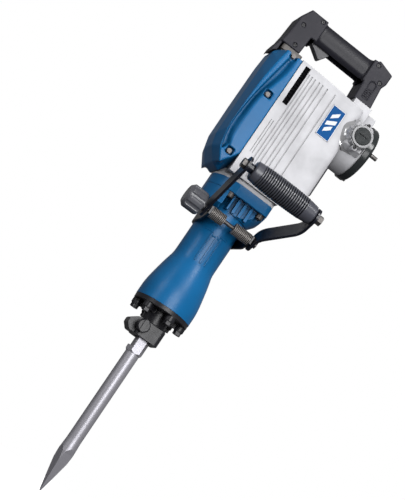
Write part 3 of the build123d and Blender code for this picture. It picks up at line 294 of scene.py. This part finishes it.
dress(BLUE, "cylinder_case", "gear_cover")
dress(SILVER, "housing")
dress(BLACK_CAST, "front_cover", "front_bolts", "retainer_pin", "handle_screws", "leg_screws", "brush_screws")
dress(STEEL, "chisel")
dress(ZINC, "flange_bolts", "cover_bolts", "tail_screws", "clamp_bolt", "grip_bolt")
dress(SLEEVE, "clamp_sleeves")
dress(BRIGHT, "brush_rings")
dress(GROUND, "tool_bush", "anvil_guide", "anvil", "ram", "cylinder_liner", "piston", "wrist_pin",
      "connecting_rod", "crank_pin", "crankshaft", "final_gear", "first_gear", "bearings", "armature_shaft",
      "trigger_pin")
dress(PLASTIC, "motor_side_cover", "handle_left", "handle_right", "cooling_fan", "carbon_brushes")
dress(PAD, "handle_pad")
dress(TRIGGER, "trigger")
dress(VENT, "vent_grilles")
dress(RUBBER, "grip_sleeve", "cable_gland", "ram_ring", "piston_ring")
dress(KNOB, "clamp_knob", "lock_button")
dress(STRAP, "arm_left", "arm_right", "clamp_band")
dress(COPPER, "armature_windings", "commutator", "field_coils", "brush_holders", "brush_springs")
dress(LAMINATE, "armature_core", "stator_core")
dress(BAKELITE, "brush_caps", "switch_unit", "tail_cover")
dress(PLATE, "nameplate")


# ---- new pieces ---------------------------------------------------------------------------
def add_piece(name, mesh, body, material, smooth=True):
    """Links a mesh as a piece that rides on a body and takes its finish from a slot."""
    piece = bpy.data.objects.new(name, mesh)
    bpy.context.scene.collection.objects.link(piece)
    mesh.materials.clear()
    mesh.materials.append(material)
    for face in mesh.polygons:
        face.use_smooth = smooth
    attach(piece, body)
    return piece


def applied(mesh, *modifiers):
    """A copy of the mesh with modifiers applied, each given as (type, settings)."""
    holder = bpy.data.objects.new("holder", mesh)
    bpy.context.scene.collection.objects.link(holder)
    for kind, settings in modifiers:
        modifier = holder.modifiers.new(kind.lower(), kind)
        for key, value in settings.items():
            setattr(modifier, key, value)
    bpy.context.view_layer.update()
    graph = bpy.context.evaluated_depsgraph_get()
    result = bpy.data.meshes.new_from_object(holder.evaluated_get(graph))
    bpy.data.objects.remove(holder)
    return result


def finished(build, name):
    """Turns a bmesh into a mesh with its faces outwards, and frees it."""
    bmesh.ops.recalc_face_normals(build, faces=build.faces)
    mesh = bpy.data.meshes.new(name)
    build.to_mesh(mesh)
    build.free()
    return mesh


def mould(node, body, material, voxel, passes, sculpt=None):
    """Replaces a CAD shell with one whose edges are rounded, as a casting or moulding has them."""
    mesh = applied(NODES[node].data.copy(), ("REMESH", {"mode": "VOXEL", "voxel_size": voxel}))
    if sculpt:
        sculpt(mesh)
    mesh = applied(mesh, ("SMOOTH", {"factor": 0.6, "iterations": passes}), ("DECIMATE", {"ratio": 0.5}))
    piece = add_piece(node + "_moulded", mesh, body, material)
    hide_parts(node)
    return piece


def open_bore(piece, node, axis, start, stop, radius):
    """Pushes a moulded wall back from the round part of a CAD node that turns or slides in it."""
    low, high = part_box(node)
    centre = (low + high) / 2
    across = [k for k in range(3) if k != axis]
    for vertex in piece.data.vertices:
        if not start <= vertex.co[axis] <= stop:
            continue
        offset = [vertex.co[k] - centre[k] for k in across]
        distance = math.hypot(*offset)
        if 1e-6 < distance < radius + RUNNING_GAP:
            for k, part in zip(across, offset):
                vertex.co[k] = centre[k] + part * (radius + RUNNING_GAP) / distance


def open_trigger_slot(piece, end=0.0015):
    """Keeps the crowned grip clear of the trigger's sides, short of the slot's two ends."""
    low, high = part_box("trigger")
    wall = high.y + RUNNING_GAP
    for vertex in piece.data.vertices:
        x, y, z = vertex.co
        beside = low.x + end < x < high.x - end and low.z < z < high.z + RUNNING_GAP
        if beside and 1e-6 < abs(y) < wall:
            vertex.co.y = math.copysign(wall, y)


def prism(name, outlines, y_front, y_back):
    """Flat plates standing on the XZ plane, each given by its outline of (x, z) points."""
    build = bmesh.new()
    for points in outlines:
        front = [build.verts.new((x, y_front, z)) for x, z in points]
        back = [build.verts.new((x, y_back, z)) for x, z in points]
        build.faces.new(front)
        build.faces.new(back[::-1])
        for k in range(len(points)):
            nxt = (k + 1) % len(points)
            build.faces.new((front[nxt], front[k], back[k], back[nxt]))
    return finished(build, name)


def nameplate_print():
    """A generic device in white: a thin frame and three leaning bars, with no lettering."""
    low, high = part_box("nameplate")
    left, right, foot, head = low.x, high.x, low.z, high.z
    rim = 0.0011
    frame_bars = [[(left, foot), (right, foot), (right, foot + rim), (left, foot + rim)],
                  [(left, head - rim), (right, head - rim), (right, head), (left, head)],
                  [(left, foot), (left + rim, foot), (left + rim, head), (left, head)],
                  [(right - rim, foot), (right, foot), (right, head), (right - rim, head)]]
    wide, tall = right - left, head - foot
    slant, bars = 0.16 * tall, []
    for start, reach in ((0.16, 0.36), (0.36, 0.50), (0.60, 0.36)):
        base, top = foot + start * tall, foot + (start + 0.13) * tall
        x0, x1 = left + (0.5 - reach * 0.62) * wide, left + (0.5 + reach * 0.62) * wide
        bars.append([(x0, base), (x1, base + slant), (x1, top + slant), (x0, top)])
    y = low.y if abs(low.y) > abs(high.y) else high.y
    mesh = prism("print", frame_bars + bars, y - 0.0001, y + 0.0002)
    return add_piece("nameplate_print", mesh, "casing", PRINT, smooth=False)


def brush_tower(side):
    """Flowing, ribbed casting that ties a brush tower to the housing wall and the drum."""
    low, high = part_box("brush_rings")
    centre_x, centre_z = (low.x + high.x) / 2, (low.z + high.z) / 2
    near_end, far_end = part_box("tail_cover")
    motor_z = (near_end.z + far_end.z) / 2
    tail = near_end.x - TOWER_SHELL
    top = -low.y - TOWER_TOP
    build = bmesh.new()
    rows = []
    for i in range(TOWER_RINGS + 1):
        t = i / TOWER_RINGS
        row = []
        for j in range(TOWER_SPOKES):
            angle = 2 * math.pi * j / TOWER_SPOKES
            reach = TOWER_FOOT * (1 + 0.16 * math.cos(angle - 3.5) + 0.05 * math.sin(5 * angle))
            if math.cos(angle) > 0:
                reach = max(TOWER_NECK + 0.001, min(reach, (tail - centre_x) / math.cos(angle)))
            radius = TOWER_NECK + (reach - TOWER_NECK) * t ** 2.6
            radius += 0.0009 * math.sin(15 * angle + 5 * t) * math.sin(math.pi * min(1, t * 1.4)) ** 0.7
            x = centre_x + radius * math.cos(angle)
            z = centre_z + radius * math.sin(angle)
            down = min(abs(z - motor_z), DRUM * 0.97)
            across = max(0.0, min(1.0, (x - WALL_END) / 0.010))
            base = WALL * (1 - across) + math.sqrt(DRUM * DRUM - down * down) * across
            y = side * (base + (top - base) * (1 - t) ** 1.3 - TOWER_SHELL * t)
            row.append(build.verts.new((x, y, z)))
        rows.append(row)
    for i in range(TOWER_RINGS):
        for j in range(TOWER_SPOKES):
            nxt = (j + 1) % TOWER_SPOKES
            build.faces.new((rows[i][j], rows[i][nxt], rows[i + 1][nxt], rows[i + 1][j]))
    mesh = applied(finished(build, "brush_tower"), ("SOLIDIFY", {"thickness": TOWER_SHELL, "offset": 0.0}))
    name = "brush_tower_front" if side < 0 else "brush_tower_back"
    return add_piece(name, mesh, "casing", GLOSSY_SILVER)


def case_lips():
    """Three short raised lips round the barrel, below the clamp."""
    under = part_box("clamp_band")[0].z - LIP_TOP
    inner, outer = BARREL_RADIUS - 0.001, BARREL_RADIUS + LIP_RISE
    for k, (start, stop, drop) in enumerate(LIP_ARCS):
        top = under - drop
        foot = top - LIP_HEIGHT
        section = ((inner, foot), (BARREL_RADIUS, foot), (outer, top - LIP_HEIGHT * 0.3), (outer, top),
                   (inner, top))
        build = bmesh.new()
        rings = []
        for i in range(LIP_STEPS + 1):
            angle = math.radians(start + (stop - start) * i / LIP_STEPS)
            out = Vector((math.cos(angle), math.sin(angle), 0))
            rings.append([build.verts.new(out * r + Vector((0, 0, z))) for r, z in section])
        for one, two in zip(rings, rings[1:]):
            for j in range(len(section)):
                nxt = (j + 1) % len(section)
                build.faces.new((one[j], one[nxt], two[nxt], two[j]))
        build.faces.new(rings[0][::-1])
        build.faces.new(rings[-1])
        mesh = finished(build, "case_lip")
        add_piece(f"case_lip_{k + 1}", mesh, "casing", BLUE, smooth=False)


def vent_shade_sheets():
    """A black sheet behind each air grille: painted shade, so that the slots look as dark as the shaded
    inside of the housing.
    """
    low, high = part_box("vent_grilles")
    for side, name in ((-1, "vent_shade_front"), (1, "vent_shade_back")):
        face = [(low.x, low.z), (high.x, low.z), (high.x, high.z), (low.x, high.z)]
        near = side * (high.y - 0.0028)
        mesh = prism(name, [face], near, near - side * 0.0015)
        add_piece(name, mesh, "casing", VENT, smooth=False)


def crown_grip(mesh):
    """Gives the waisted part of the D-handle a full, crowned section."""
    for vertex in mesh.vertices:
        x, y, z = vertex.co
        inwards = min(x - GRIP_LEFT, GRIP_RIGHT - x) / GRIP_FADE
        if inwards <= 0 or z < GRIP_UNDER:
            continue
        level = min(1.0, abs(z - GRIP_MIDDLE) / GRIP_HALF)
        crown = math.sqrt(1 - GRIP_FLATNESS * level * level)
        vertex.co.y = y * (1 + (crown - 1) * min(1.0, inwards))


def darken_grip(piece):
    """The waisted grip has a smoother, darker finish than the legs."""
    piece.data.materials.append(GRIP_FINISH)
    inset = 0.0005
    for face in piece.data.polygons:
        middle = face.center
        if GRIP_LEFT + inset < middle.x < GRIP_RIGHT - inset and middle.z > GRIP_UNDER:
            face.material_index = 1


nameplate_print()
# Black sheets behind the air grilles: painted shade.
vent_shade_sheets()
case_lips()
for side in (-1, 1):
    brush_tower(side)
cover = mould("gear_cover", "casing", BLUE, voxel=0.0011, passes=22)
for bore in COVER_BORES:
    open_bore(cover, *bore)
for node, bores in (("handle_left", ()), ("handle_right", LOCK_BORES)):
    half = mould(node, "casing", PLASTIC, voxel=0.0008, passes=9, sculpt=crown_grip)
    open_trigger_slot(half)
    for bore in bores:
        open_bore(half, *bore)
    darken_grip(half)
